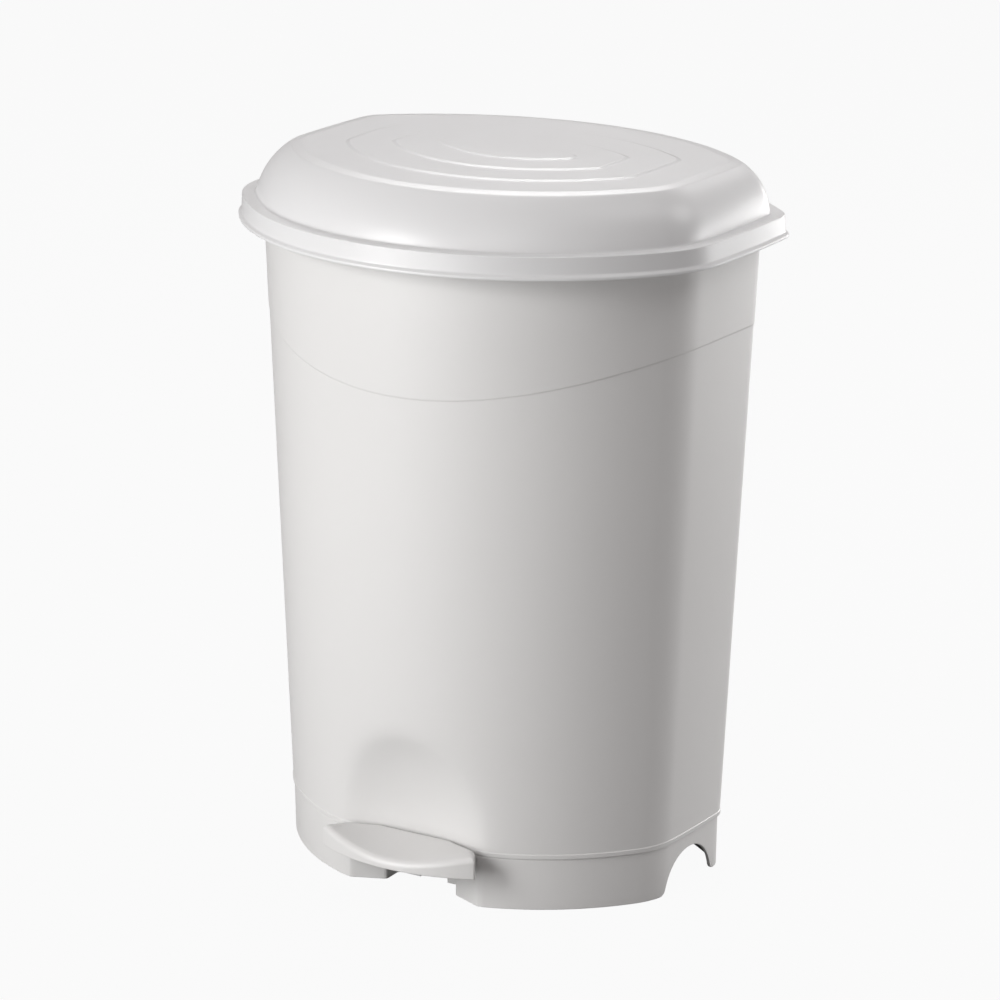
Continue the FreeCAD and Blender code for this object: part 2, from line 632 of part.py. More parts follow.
def rod_guide(z):
    """Saddle on the back wall that keeps the rod upright."""
    axis = rod_axis(z)
    block = box(-9, 9, axis.y - 6, axis.y + 14, z - 6, z + 6)
    block = block.common(body_block(z - 20, z + 20, BODY_WALL + BAND_PROUD))
    return block.cut(rod_between(rod_axis(z - 12), rod_axis(z + 12), ROD_R + 0.35))


def build():
    """Every piece, by node name."""
    return {
        "outer_body": outer_body(),
        "base_plinth": base_plinth(),
        "base_screws": base_screws(),
        "lid_shell": lid_shell(),
        "lid_hinge_carrier": lid_hinge_carrier(),
        "carrier_screws": carrier_screws(),
        "lid_buffers": lid_buffers(),
        "hinge_bracket": hinge_bracket(),
        "bracket_screws": bracket_screws(),
        "hinge_pin": hinge_pin(),
        "inner_bucket": inner_bucket(),
        "bucket_bail": bucket_bail(),
        "bail_grip": bail_grip(),
        "pedal_plate": pedal_plate(),
        "pedal_lever": pedal_lever(),
        "pedal_screws": pedal_screws(),
        "pedal_axle": pedal_axle(),
        "axle_clips": axle_clips(),
        "push_rod": push_rod(),
        "rod_foot": rod_foot(),
        "rod_head": rod_head(),
        "rod_guide_lower": rod_guide(150),
        "rod_guide_middle": rod_guide(280),
        "rod_guide_upper": rod_guide(410),
    }


os.makedirs("parts", exist_ok=True)
for node, solid in build().items():
    save(node, solid)
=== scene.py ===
"""Pedal bin: finished surfaces, materials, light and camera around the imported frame."""

import json
import math

import bmesh
import bpy
import numpy as np
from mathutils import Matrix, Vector
from mathutils.geometry import tessellate_polygon


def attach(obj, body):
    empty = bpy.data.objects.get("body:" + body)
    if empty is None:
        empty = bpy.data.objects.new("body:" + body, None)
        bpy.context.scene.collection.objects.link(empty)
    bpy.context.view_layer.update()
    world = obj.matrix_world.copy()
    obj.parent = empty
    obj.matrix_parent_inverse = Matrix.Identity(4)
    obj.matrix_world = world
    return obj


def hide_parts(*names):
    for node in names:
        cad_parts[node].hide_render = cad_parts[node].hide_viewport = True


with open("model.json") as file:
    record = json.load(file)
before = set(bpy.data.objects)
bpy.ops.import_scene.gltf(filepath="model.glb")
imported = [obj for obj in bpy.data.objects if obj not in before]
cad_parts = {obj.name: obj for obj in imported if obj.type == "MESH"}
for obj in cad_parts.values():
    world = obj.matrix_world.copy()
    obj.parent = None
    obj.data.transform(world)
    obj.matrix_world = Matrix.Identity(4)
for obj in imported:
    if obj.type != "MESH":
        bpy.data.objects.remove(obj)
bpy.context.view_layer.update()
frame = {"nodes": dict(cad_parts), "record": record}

# Shapes are worked out in millimetres and written to the meshes in metres.
MM = 0.001

# Plan outline: front, side and back arcs as centre and radius, and the corner fillets
FRONT_ARC = (59.72, 222.87)
SIDE_ARC = (-613.8, 12.4, 811.2)
LID_BACK = (-105.53, 268.68)
BODY_BACK = (-114.0, 266.3)
FRONT_CORNER = 78.3
BACK_CORNER = 24.0
STEPS = (36, 14, 30, 10, 22)

# Levels of the body and the base
BASE_TOP = 39.2
FLOOR_UNDER = 62.0
FLOOR_TOP = 64.5
RIM_Z = 485.0
BODY_LOW = (BASE_TOP, 34.5, -0.9)
BODY_HIGH = (453.0, 16.9, 4.3)
BODY_WALL = 2.7
BAND_PROUD = 0.5
HEM_H = 3.3
BAND_RADIUS = 480.0
BAND_LOW_Z = 378.0
DISH_CENTRE = (-149.0, 45.0)
DISH_RADII = (98.8, 36.0, 86.0)
DISH_SOFT = 5.0
DISH_WALL = 2.2
DISH_CLEAR_Z = 136.0
BAND_EDGE = 0.9
RIM_TURN_Z = 479.0
RIM_INSET = 8.5
HINGE_NOTCH_X = 48.0

# Lid
LIP_Z = 474.2
LEDGE_Z = 490.6
DOME_Z = 525.3
DOME_SHIFT = 6.4
FOOT_INSET = 13.0
DOME_INSET = 34.7
DOME_BULGE = 4.65
LIP_WALL = 5.0
LIP_H = 2.1
SKIRT_LOW_INSET = 2.2
SKIRT_LOW_H = 3.8
SKIRT_TOP_INSET = 2.85
LID_WALL = 2.2
CEILING_INSET = 70.0
CEILING_Z = 523.4
PLATEAU_Z = 526.3
PLATEAU_INSET = 43.3
STEP_H = 0.85
STEP_RUN = 2.4
TERRACES = (75.0, 108.0, 139.7)


# ---------------------------------------------------------------- outlines

def fillet_centre(first, second, radius, towards_back):
    """Centre of a fillet inside two circles given as (x, y, r)."""
    x1, y1, r1 = first
    x2, y2, r2 = second
    a = r1 - radius
    b = r2 - radius
    span = math.hypot(x2 - x1, y2 - y1)
    along = (a * a - b * b + span * span) / (2.0 * span)
    across = math.sqrt(a * a - along * along)
    ux = (x2 - x1) / span
    uy = (y2 - y1) / span
    ends = [(x1 + along * ux - s * across * uy, y1 + along * uy + s * across * ux) for s in (-1, 1)]
    return max(ends, key=lambda e: e[1] if towards_back else -e[1])


def plan_arcs(inset, shift, back):
    """Right half of the outline, front to back, as (centre x, centre y, radius, last angle)."""
    front = (0.0, FRONT_ARC[0] + shift, FRONT_ARC[1] - inset)
    side = (SIDE_ARC[0], SIDE_ARC[1] + shift, SIDE_ARC[2] - inset)
    rear = (0.0, back[0] + shift, back[1] - inset)
    front_r = max(FRONT_CORNER - 0.71 * inset, 6.0)
    back_r = max(BACK_CORNER - 0.1 * inset, 6.0)
    fx, fy = fillet_centre(front, side, front_r, False)
    bx, by = fillet_centre(side, rear, back_r, True)

    def turn(circle, x, y):
        return math.atan2(x - circle[0], circle[1] - y)

    return [front + (turn(front, fx, fy),), (fx, fy, front_r, turn(side, fx, fy)),
            side + (turn(side, bx, by),), (bx, by, back_r, turn(rear, bx, by)), rear + (math.pi,)]


def ring(inset, z, shift, back=LID_BACK):
    """Closed outline at one level, starting at the middle of the front and turning to +X."""
    half = []
    start = 0.0
    for (cx, cy, radius, end), steps in zip(plan_arcs(inset, shift, back), STEPS):
        angles = start + (end - start) * np.arange(steps) / steps
        half.append(np.stack([cx + radius * np.sin(angles), cy - radius * np.cos(angles)], 1))
        start = end
    right = np.concatenate(half)
    tail = np.array([[0.0, back[0] + shift + back[1] - inset]])
    left = right[:0:-1] * (-1.0, 1.0)
    points = np.concatenate([right, tail, left])
    return np.column_stack([points, np.full(len(points), z)])


def outward(path):
    """Unit normals to the right of a closed path, in plan."""
    along = np.roll(path, -1, axis=0) - np.roll(path, 1, axis=0)
    out = np.stack([along[:, 1], -along[:, 0]], 1)
    return out / np.linalg.norm(out, axis=1)[:, None]


def rounded(corners, steps=4):
    """Polyline through (a, b, cut) corners, each cut back by that length and curved."""
    points = [np.array(c[:2], float) for c in corners]
    out = []
    for i, here in enumerate(points):
        cut = corners[i][2]
        if cut == 0.0 or i in (0, len(corners) - 1):
            out.append(here)
            continue
        before = points[i - 1] - here
        after = points[i + 1] - here
        p = here + before / np.linalg.norm(before) * cut
        q = here + after / np.linalg.norm(after) * cut
        for k in range(steps + 1):
            t = k / steps
            out.append(p * (1 - t) ** 2 + here * 2 * t * (1 - t) + q * t * t)
    return out


# ---------------------------------------------------------------- meshes

def skin(rings, first_tip=None, last_tip=None):
    """Vertices and faces of the surface through equal rings, closed to a point where a tip is given."""
    count = len(rings[0])
    verts = [tuple(p) for r in rings for p in r]
    faces = []
    for k in range(len(rings) - 1):
        for i in range(count):
            j = (i + 1) % count
            faces.append((k * count + i, k * count + j, (k + 1) * count + j, (k + 1) * count + i))
    for tip, base in ((first_tip, 0), (last_tip, (len(rings) - 1) * count)):
        if tip is None:
            continue
        verts.append(tuple(tip))
        for i in range(count):
            faces.append((base + i, base + (i + 1) % count, len(verts) - 1))
    return verts, faces


def shrink(edge, scales):
    """Copies of a ring drawn in towards its middle."""
    middle = edge.mean(axis=0)
    return [middle + (edge - middle) * s for s in scales]


def piece(name, parts, body, slot, *nodes):
    """Mesh object from (vertices, faces) parts in millimetres, riding on a body in place of CAD nodes."""
    bm = bmesh.new()
    for verts, faces in parts:
        made = [bm.verts.new(Vector(v) * MM) for v in verts]
        for face in faces:
            bm.faces.new([made[i] for i in face])
    bmesh.ops.recalc_face_normals(bm, faces=bm.faces)
    mesh = bpy.data.meshes.new(name)
    bm.to_mesh(mesh)
    bm.free()
    for polygon in mesh.polygons:
        polygon.use_smooth = True
    mesh.materials.append(FINISH[slot])
    obj = bpy.data.objects.new(name, mesh)
    bpy.context.scene.collection.objects.link(obj)
    weighted = obj.modifiers.new("even_normals", "WEIGHTED_NORMAL")
    weighted.keep_sharp = True
    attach(obj, body)
    if nodes:
        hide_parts(*nodes)


# ---------------------------------------------------------------- lid

def dome_arc(wall, count):
    """Bulged side of the lid as (inset, z) points, for the outer or the inner skin."""
    run = DOME_INSET - FOOT_INSET
    rise = DOME_Z - LEDGE_Z
    chord = math.hypot(run, rise)
    radius = (chord * chord / 4.0 + DOME_BULGE ** 2) / (2.0 * DOME_BULGE)
    back_off = radius - DOME_BULGE
    ci = (FOOT_INSET + DOME_INSET) / 2.0 + back_off * rise / chord
    cz = (LEDGE_Z + DOME_Z) / 2.0 - back_off * run / chord
    start = math.atan2(LEDGE_Z - cz, ci - FOOT_INSET)
    end = math.atan2(DOME_Z - cz, ci - DOME_INSET)
    angles = [start + (end - start) * i / (count - 1) for i in range(count)]
    return [(ci - (radius - wall) * math.cos(a), cz + (radius - wall) * math.sin(a)) for a in angles]


def lid_ring(inset, z):
    """Lid outline; the dome leans back as it rises."""
    lean = min(max((z - LEDGE_Z) / (DOME_Z - LEDGE_Z), 0.0), 1.0)
    return ring(inset, z, DOME_SHIFT * lean)


def lid_surface():
    """Closed skin: ceiling, inner side, lip, skirt, ledge, dome and terraces."""
    inner = [(i, z, 0.0) for i, z in dome_arc(LID_WALL, 12) if LEDGE_Z - LID_WALL + 1 < z < CEILING_Z]
    under = LEDGE_Z - LID_WALL
    corners = [(CEILING_INSET, CEILING_Z, 0.0), (inner[-1][0] + 3.0, CEILING_Z, 1.5)]
    corners += inner[::-1]
    corners += [(inner[0][0] - 0.8, under, 0.6), (LIP_WALL, under, 1.0), (LIP_WALL, LIP_Z, 0.5)]
    corners += [(0.0, LIP_Z, 0.8), (0.0, LIP_Z + LIP_H, 0.8), (SKIRT_LOW_INSET, LIP_Z + SKIRT_LOW_H, 0.9)]
    corners.append((SKIRT_TOP_INSET, LEDGE_Z, 1.0))
    dome = dome_arc(0.0, 20)
    corners += [(FOOT_INSET, LEDGE_Z, 1.4)] + [(i, z, 0.0) for i, z in dome[1:-1]]
    corners += [(DOME_INSET, DOME_Z, 1.2), (PLATEAU_INSET, PLATEAU_Z, 1.5)]
    for k, inset in enumerate(TERRACES[:-1]):
        low = PLATEAU_Z + STEP_H * k
        corners += [(inset, low, 0.9), (inset + STEP_RUN, low + STEP_H, 0.9)]
    corners.append((TERRACES[-1], PLATEAU_Z + STEP_H * (len(TERRACES) - 1), 0.0))
    rings = [lid_ring(i, z) for i, z in rounded(corners)]
    head = shrink(rings[0], (0.3, 0.6))
    tail = shrink(rings[-1], (0.97, 0.95, 0.93, 0.6, 0.3))
    for edge, share in zip(tail, (0.5, 0.9, 1.0, 1.0, 1.0)):
        edge[:, 2] += STEP_H * share
    return skin(head + rings + tail, head[0].mean(axis=0), tail[-1].mean(axis=0))


# ---------------------------------------------------------------- body

def smooth_step(t):
    """0 to 1 with level ends."""
    t = np.clip(t, 0.0, 1.0)
    return t * t * (3.0 - 2.0 * t)


def body_ring(z, extra=0.0):
    """Outline of the tapered body at a level."""
    t = (z - BODY_LOW[0]) / (BODY_HIGH[0] - BODY_LOW[0])
    inset = BODY_LOW[1] + t * (BODY_HIGH[1] - BODY_LOW[1])
    shift = BODY_LOW[2] + t * (BODY_HIGH[2] - BODY_LOW[2])
    return ring(inset + extra, z, shift, BODY_BACK)


def body_points(levels, extra):
    """Body surface with its own level and inset for each column, straight between the two end rings."""
    low = body_ring(BASE_TOP)
    high = body_ring(RIM_Z)
    t = ((levels - BASE_TOP) / (RIM_Z - BASE_TOP))[:, None]
    points = low + (high - low) * t
    points[:, :2] -= outward(points) * np.broadcast_to(extra, levels.shape)[:, None]
    points[:, 2] = levels
    return points


def press_dish(points, grow=0.0):
    """Push the front of the body back into the round-topped foot hollow, with a soft edge."""
    x, y, z = points.T
    q = (x / (DISH_RADII[0] + grow)) ** 2 + ((z - DISH_CENTRE[1]) / (DISH_RADII[2] + grow)) ** 2
    hollow = DISH_CENTRE[0] + (DISH_RADII[1] + grow) * np.sqrt(np.clip(1.0 - q, 0.0, None))
    gap = y - hollow
    deep = 0.5 * (y + hollow + np.sqrt(gap * gap + DISH_SOFT * DISH_SOFT))
    weight = smooth_step((1.35 - q) / 0.3) * (y < 0)
    out = points.copy()
    out[:, 1] = y + (deep - y) * weight
    return out


def body_surface():
    """Closed skin of the body: outside with its raised band, rolled rim, inside and floor."""
    columns = body_ring(400.0)
    band = BAND_LOW_Z + BAND_RADIUS - np.sqrt(BAND_RADIUS ** 2 - np.clip(columns[:, 0], -200, 200) ** 2)
    level = np.ones(len(columns))
    rings = []

    def add(z, extra, grow=0.0):
        rings.append(press_dish(body_points(level * z, extra), grow))

    # inside below the floor, down to the bottom edge
    for z in (FLOOR_UNDER, 50.0, BASE_TOP + 0.3):
        add(z, BODY_WALL, DISH_WALL)
    # bottom edge with its narrow raised hem
    for extra, z in rounded([(BODY_WALL, BASE_TOP, 0.0), (1.8, BASE_TOP, 0.0), (0.0, BASE_TOP, 0.7),
                             (0.0, BASE_TOP + HEM_H, 0.25), (BAND_PROUD, BASE_TOP + HEM_H + 0.5, 0.3),
                             (BAND_PROUD, BASE_TOP + 5.0, 0.0)]):
        add(z, extra)
    # outside up to the band, across its edge and on to the rim
    for z in np.linspace(BASE_TOP + 6.0, DISH_CLEAR_Z, 44):
        add(z, BAND_PROUD)
    for t in np.linspace(0.0, 1.0, 24)[1:]:
        climb = (band - BAND_EDGE - DISH_CLEAR_Z) * t
        rings.append(press_dish(body_points(DISH_CLEAR_Z + climb, BAND_PROUD)))
    for t in (0.2, 0.4, 0.6, 0.8, 1.0):
        proud = BAND_PROUD * (1.0 - smooth_step(t))
        rings.append(body_points(band - BAND_EDGE + 2.0 * BAND_EDGE * t, proud))
    for t in np.linspace(0.0, 1.0, 12)[1:]:
        climb = (RIM_TURN_Z - band - BAND_EDGE) * t
        rings.append(body_points(band + BAND_EDGE + climb, 0.0))
    # rolled rim, left out at the back where the hinge bracket sits
    high = body_points(level * (RIM_TURN_Z + 2.0), 0.0)
    notch = (np.abs(high[:, 0]) < HINGE_NOTCH_X) & (high[:, 1] > 0.0)
    for mix, z in rounded([(0.0, RIM_TURN_Z, 0.0), (0.0, RIM_TURN_Z + 2.6, 0.8), (1.0, RIM_TURN_Z + 3.5, 0.3),
                           (1.0, RIM_Z, 0.6), (0.1, RIM_Z, 0.0)]):
        wall = body_points(level * z, 0.0)
        rim = ring(RIM_INSET, z, 0.0)
        rings.append(np.where(notch[:, None], wall, wall + (rim - wall) * mix))
    # inside, down to the floor
    for extra, z in rounded([(1.0, RIM_Z, 0.0), (BODY_WALL, RIM_Z, 0.6), (BODY_WALL, 470.0, 0.0)]):
        add(z, extra, DISH_WALL)
    for z in np.linspace(460.0, 140.0, 12):
        add(z, BODY_WALL, DISH_WALL)
    for z in np.linspace(134.0, FLOOR_TOP + 2.0, 18):
        add(z, BODY_WALL, DISH_WALL)
    add(FLOOR_TOP + 0.5, BODY_WALL + 0.4, DISH_WALL + 0.4)
    add(FLOOR_TOP, BODY_WALL + 2.0, DISH_WALL + 2.0)
    under = shrink(rings[0], (0.25, 0.5, 0.75))
    floor = shrink(rings[-1], (0.75, 0.5, 0.25))
    return skin(under + rings + floor, under[0].mean(axis=0), floor[-1].mean(axis=0))


# ---------------------------------------------------------------- base

BASE_INSET = 36.1
BASE_TAPER = 0.7
BASE_SHIFT = -1.6
BASE_WALL = 2.4
DECK_UNDER = 36.5
BAY_FRONT_X = 57.0
BAY_BACK_Y = -91.0
ARCH_Y = 4.0
ARCH_Z = -4.5
ARCH_R = 33.0
ARCH_FLARE = 6.0
ARCH_FROM_X = 120.0
BAY_BACK_X = 30.5
BAY_NECK = (29.5, -108.2)
BASE_EDGE_Z = BASE_TOP - 0.1
SLOT_HALF_W = 12.0
DECK_INSET = 56.0
DECK_FRONT_Y = -90.0
WINDOW_FRONT = (46.0, -80.0)
WINDOW_BACK_Y = 110.5
WEB_X = 14.5
WEB_HALF = 1.5
WEB_LOW_Z = 3.0
WEB_BACK_Y = 111.5


def base_path(inset):
    """Plan path of the base wall: the outline with the pedal bay let into its front."""
    outline = ring(inset, 0.0, BASE_SHIFT, BODY_BACK)[:, :2]
    count = len(outline)
    keep = [i for i in range(count) if outline[i][1] > 0.0 or abs(outline[i][0]) > BAY_FRONT_X + 5.0]
    radius = FRONT_ARC[1] - inset
    corner_y = FRONT_ARC[0] + BASE_SHIFT - math.sqrt(radius ** 2 - BAY_FRONT_X ** 2)
    bay = [(BAY_BACK_X, BAY_BACK_Y, 3.0), (*BAY_NECK, 2.5), (BAY_FRONT_X, corner_y, 4.5)]
    corners = [(outline[i][0], outline[i][1], 0.0) for i in keep]
    loop = [(-x, y, c) for x, y, c in bay[::-1]] + bay + corners
    # start behind the bay so that no rounded corner is the first or the last
    loop = [(0.0, BAY_BACK_Y, 0.0)] + loop[3:] + loop[:3] + [(0.0, BAY_BACK_Y, 0.0)]
    path = rounded(loop, 5)
    return np.array(path[:-1])


def resample(path, spacing):
    """Closed path at even steps."""
    closed = np.vstack([path, path[:1]])
    lengths = np.concatenate([[0.0], np.cumsum(np.linalg.norm(np.diff(closed, axis=0), axis=1))])
    count = int(lengths[-1] / spacing)
    at = np.arange(count) * lengths[-1] / count
    return np.stack([np.interp(at, lengths, closed[:, k]) for k in (0, 1)], 1)


def arch_height(y):
    """Height of the opening under each side, flared where it meets the floor."""
    away = np.abs(y - ARCH_Y)
    flare_y = math.sqrt((ARCH_R + ARCH_FLARE) ** 2 - (ARCH_FLARE - ARCH_Z) ** 2)
    joint = flare_y * ARCH_R / (ARCH_R + ARCH_FLARE)
    arch = ARCH_Z + np.sqrt(np.clip(ARCH_R ** 2 - away ** 2, 0.0, None))
    flare = ARCH_FLARE - np.sqrt(np.clip(ARCH_FLARE ** 2 - (flare_y - away) ** 2, 0.0, None))
    return np.where(away < joint, arch, np.where(away < flare_y, flare, 0.0))


def base_surface():
    """Wall of the base with its side arches, the lever's slot and a rounded lower edge."""
    path = resample(base_path(BASE_INSET), 1.2)
    out = outward(path)
    x, y = path.T
    slot = (np.abs(x) < SLOT_HALF_W) & (y < 0.0) & (y > BAY_BACK_Y - 2.0)
    foot = np.where(slot, DECK_UNDER, np.where(np.abs(x) > ARCH_FROM_X, arch_height(y), 0.0))
    taper = np.where((np.abs(x) < BAY_FRONT_X) & (y < 0), 0.0, BASE_TAPER)
    rings = []
    for inward, up in rounded([(BASE_WALL, BASE_EDGE_Z, 0.0), (BASE_WALL, 0.0, 0.6), (0.0, 0.0, 0.9),
                               (0.0, BASE_EDGE_Z, 0.9), (BASE_WALL, BASE_EDGE_Z, 0.0)]):
        z = np.minimum(foot + up, BASE_EDGE_Z - 0.2 * inward / BASE_WALL)
        lean = taper * (1.0 - z / BASE_TOP)
        rings.append(np.column_stack([path - out * (inward + lean)[:, None], z]))
    return skin(rings)


def plate(loops, low, high, stand=False):
    """Flat plate between two levels from closed loops, the first outside; stand sets it across X."""
    corners = [Vector((p[0], p[1], 0.0)) for loop in loops for p in loop]
    triangles = tessellate_polygon([[Vector((p[0], p[1], 0.0)) for p in loop] for loop in loops])
    count = len(corners)
    verts = [(c.x, c.y, level) for level in (low, high) for c in corners]
    faces = [tuple(t) for t in triangles] + [tuple(i + count for i in t) for t in triangles]
    start = 0
    for loop in loops:
        for i in range(len(loop)):
            j = (i + 1) % len(loop)
            faces.append((start + i, start + j, start + j + count, start + i + count))
        start += len(loop)
    if stand:
        verts = [(level, y, z) for y, z, level in verts]
    return verts, faces


def deck_surface():
    """Deck inside the base, open in the middle and slotted for the lever."""
    rim = base_path(BASE_INSET + 1.4)[::3]
    window = ring(DECK_INSET, 0.0, BASE_SHIFT, BODY_BACK)[:, :2]
    half = window[:len(window) // 2 + 1]
    right = [tuple(p) for p in half if p[0] > (WINDOW_FRONT[0] if p[1] < 0 else SLOT_HALF_W)]
    mouth = [(SLOT_HALF_W, DECK_FRONT_Y), (SLOT_HALF_W, WINDOW_FRONT[1]), WINDOW_FRONT]
    right = mouth + right + [(SLOT_HALF_W, WINDOW_BACK_Y)]
    return plate([rim, right + [(-x, y) for x, y in reversed(right)]], DECK_UNDER, BASE_TOP - 0.4)


def web_surface(x):
    """Upright web beside the lever that carries the axle."""
    corners = [(DECK_FRONT_Y, DECK_UNDER, 0.0), (DECK_FRONT_Y, WEB_LOW_Z, 2.5),
               (WEB_BACK_Y, WEB_LOW_Z, 2.5), (WEB_BACK_Y, DECK_UNDER, 0.0)]
    return plate([rounded(corners)], x - WEB_HALF, x + WEB_HALF, stand=True)


# ---------------------------------------------------------------- pedal

PEDAL_HALF_W = 66.0
PEDAL_FRONT_Y = -154.3
PEDAL_FRONT_R = 141.8
PEDAL_REAR_Y = -115.7
PEDAL_TOP_Z = 46.5
PEDAL_LOW_Z = 29.0
PEDAL_ROLL = 4.5
PEDAL_WALL = 2.7
PEDAL_SKIRT = 2.6
PEDAL_FIELD = 9.0
PEDAL_MARGIN = 5.0
PEDAL_CROWN = 1.4
PEDAL_SAG = 13.3
PEDAL_LEVEL_X = 70.0
PEDAL_BEND_X = 30.0
PEDAL_END = (57.0, PEDAL_REAR_Y - 7.8)
PAD_Y = (-137.5, -118.5)
PAD_DROP = (2.0, 6.7)
PAD_HALF_W = 10.0


def pedal_height(x, y):
    """Top of the pedal: level along the rear, sagging to the middle of the front."""
    rear = PEDAL_REAR_Y + PEDAL_MARGIN
    front = PEDAL_FRONT_Y - PEDAL_MARGIN
    sag = PEDAL_SAG * (rear - y) / (rear - front) - PEDAL_CROWN
    return PEDAL_TOP_Z - sag * (1.0 - (x / PEDAL_LEVEL_X) ** 2)


def pedal_path(inset):
    """Plan path of the pedal, moved inward: straight rear, cut-back ends and a bowed front."""
    radius = PEDAL_FRONT_R - inset
    centre_y = PEDAL_FRONT_Y + PEDAL_FRONT_R
    rear_y = PEDAL_REAR_Y - inset
    tip_x = PEDAL_HALF_W - 1.25 * inset
    tip = np.array([tip_x, centre_y - math.sqrt(radius ** 2 - tip_x ** 2)])
    end = np.array([PEDAL_END[0] - 1.2 * inset, PEDAL_END[1] - 0.5 * inset])
    back = np.array([PEDAL_BEND_X, rear_y])
    right = [(x, rear_y, 0.0) for x in np.linspace(3.0, 26.0, 8)] + [(*back, 2.0)]
    right += [(*(back + (end - back) * t), 0.0) for t in (0.25, 0.5, 0.75)] + [(*end, 2.0)]
    right += [(*(end + (tip - end) * 0.5), 0.0), (*tip, 1.6)]
    for x in np.linspace(tip_x - 4.0, 0.0, 20):
        right.append((x, centre_y - math.sqrt(radius ** 2 - x ** 2), 0.0))
    left = [(-x, y, cut) for x, y, cut in right[-2::-1]]
    ends = [(0.0, rear_y, 0.0)]
    return np.array(rounded(ends + right + left + ends)[:-1])


def pedal_surface():
    """Parts of the foot plate: skirt with its rolled edge, hollow underside and dished top."""
    rings = []

    def add(inward, drop=None, z=None):
        points = pedal_path(inward)
        top = pedal_height(points[:, 0], points[:, 1])
        level = top - drop if z is None else np.full(len(points), z)
        rings.append(np.column_stack([points, level]))

    for inward in (PEDAL_FIELD, 6.0, 3.2):
        add(inward, drop=PEDAL_WALL)
    add(PEDAL_SKIRT, drop=3.4)
    add(PEDAL_SKIRT, z=PEDAL_LOW_Z + 0.4)
    for inward, z in rounded([(PEDAL_SKIRT, PEDAL_LOW_Z + 0.4, 0.0), (PEDAL_SKIRT, PEDAL_LOW_Z, 0.35),
                              (0.0, PEDAL_LOW_Z, 0.9), (0.0, PEDAL_LOW_Z + 2.0, 0.0)])[1:]:
        add(inward, z=z)
    for k in range(9):
        angle = math.pi / 2 * k / 8
        add(PEDAL_ROLL * (1 - math.cos(angle)), drop=PEDAL_ROLL * (1 - math.sin(angle)))
    for inward in (6.0, 7.5, PEDAL_FIELD):
        add(inward, drop=0.0)
    return [skin(rings), pedal_fill(rings[0], PEDAL_WALL), pedal_fill(rings[-1], 0.0)]


def pedal_fill(edge, drop):
    """Grid between the front and the rear halves of an inner ring of the pedal."""
    left = int(np.argmin(edge[:, 0]))
    right = int(np.argmax(edge[:, 0]))
    count = len(edge)
    first = [edge[(left + k) % count] for k in range((right - left) % count + 1)]
    second = [edge[(left - k) % count] for k in range((left - right) % count + 1)]
    steps = 60
    levels = 12
    rows = []
    for chain in (first, second):
        chain = np.array(chain)
        xs = np.linspace(chain[0, 0], chain[-1, 0], steps)
        order = np.argsort(chain[:, 0])
        rows.append(np.stack([xs, np.interp(xs, chain[order, 0], chain[order, 1])], 1))
    grid = []
    for t in np.linspace(0.0, 1.0, levels):
        plan = rows[0] + (rows[1] - rows[0]) * t
        grid.append(np.column_stack([plan, pedal_height(plan[:, 0], plan[:, 1]) - drop]))
    verts = [tuple(p) for row in grid for p in row]
    faces = [(r * steps + i, r * steps + i + 1, (r + 1) * steps + i + 1, (r + 1) * steps + i)
             for r in range(levels - 1) for i in range(steps - 1)]
    return verts, faces


def pedal_pad():
    """Boss under the plate that the lever is screwed to."""
    front, rear = PAD_Y
    high, low = PAD_DROP
    side = [(y, pedal_height(0.0, y) - drop)
            for y, drop in ((rear, high), (front, high), (front, low), (rear, low))]
    return plate([side], -PAD_HALF_W, PAD_HALF_W, stand=True)


# ---------------------------------------------------------------- materials

def new_material(name):
    """Empty node material with its Principled shader."""
    material = bpy.data.materials.new(name)
    material.use_nodes = True
    return material, material.node_tree.nodes, material.node_tree.links


def moulded_plastic(name, colour, roughness, grain=1100.0, depth=0.00002):
    """Moulded polypropylene: faint clouding of colour, fine grain and slightly uneven gloss."""
    material, nodes, links = new_material(name)
    shader = nodes["Principled BSDF"]
    where = nodes.new("ShaderNodeTexCoord")
    cloud = nodes.new("ShaderNodeTexNoise")
    cloud.inputs["Scale"].default_value = 7.0
    cloud.inputs["Detail"].default_value = 3.0
    links.new(where.outputs["Object"], cloud.inputs["Vector"])
    tint = nodes.new("ShaderNodeValToRGB")
    tint.color_ramp.elements[0].position = 0.3
    tint.color_ramp.elements[1].position = 0.7
    tint.color_ramp.elements[0].color = (*[c * 0.985 for c in colour], 1.0)
    tint.color_ramp.elements[1].color = (*colour, 1.0)
    links.new(cloud.outputs["Fac"], tint.inputs["Fac"])
    links.new(tint.outputs["Color"], shader.inputs["Base Color"])
    patch = nodes.new("ShaderNodeTexNoise")
    patch.inputs["Scale"].default_value = 45.0
    patch.inputs["Detail"].default_value = 4.0
    links.new(where.outputs["Object"], patch.inputs["Vector"])
    gloss = nodes.new("ShaderNodeMapRange")
    gloss.inputs["To Min"].default_value = roughness - 0.03
    gloss.inputs["To Max"].default_value = roughness + 0.03
    links.new(patch.outputs["Fac"], gloss.inputs["Value"])
    links.new(gloss.outputs["Result"], shader.inputs["Roughness"])
    fine = nodes.new("ShaderNodeTexNoise")
    fine.inputs["Scale"].default_value = grain
    fine.inputs["Detail"].default_value = 2.0
    links.new(where.outputs["Object"], fine.inputs["Vector"])
    bump = nodes.new("ShaderNodeBump")
    bump.inputs["Strength"].default_value = 0.35
    bump.inputs["Distance"].default_value = depth
    links.new(fine.outputs["Fac"], bump.inputs["Height"])
    links.new(bump.outputs["Normal"], shader.inputs["Normal"])
    shader.inputs["IOR"].default_value = 1.49
    return material


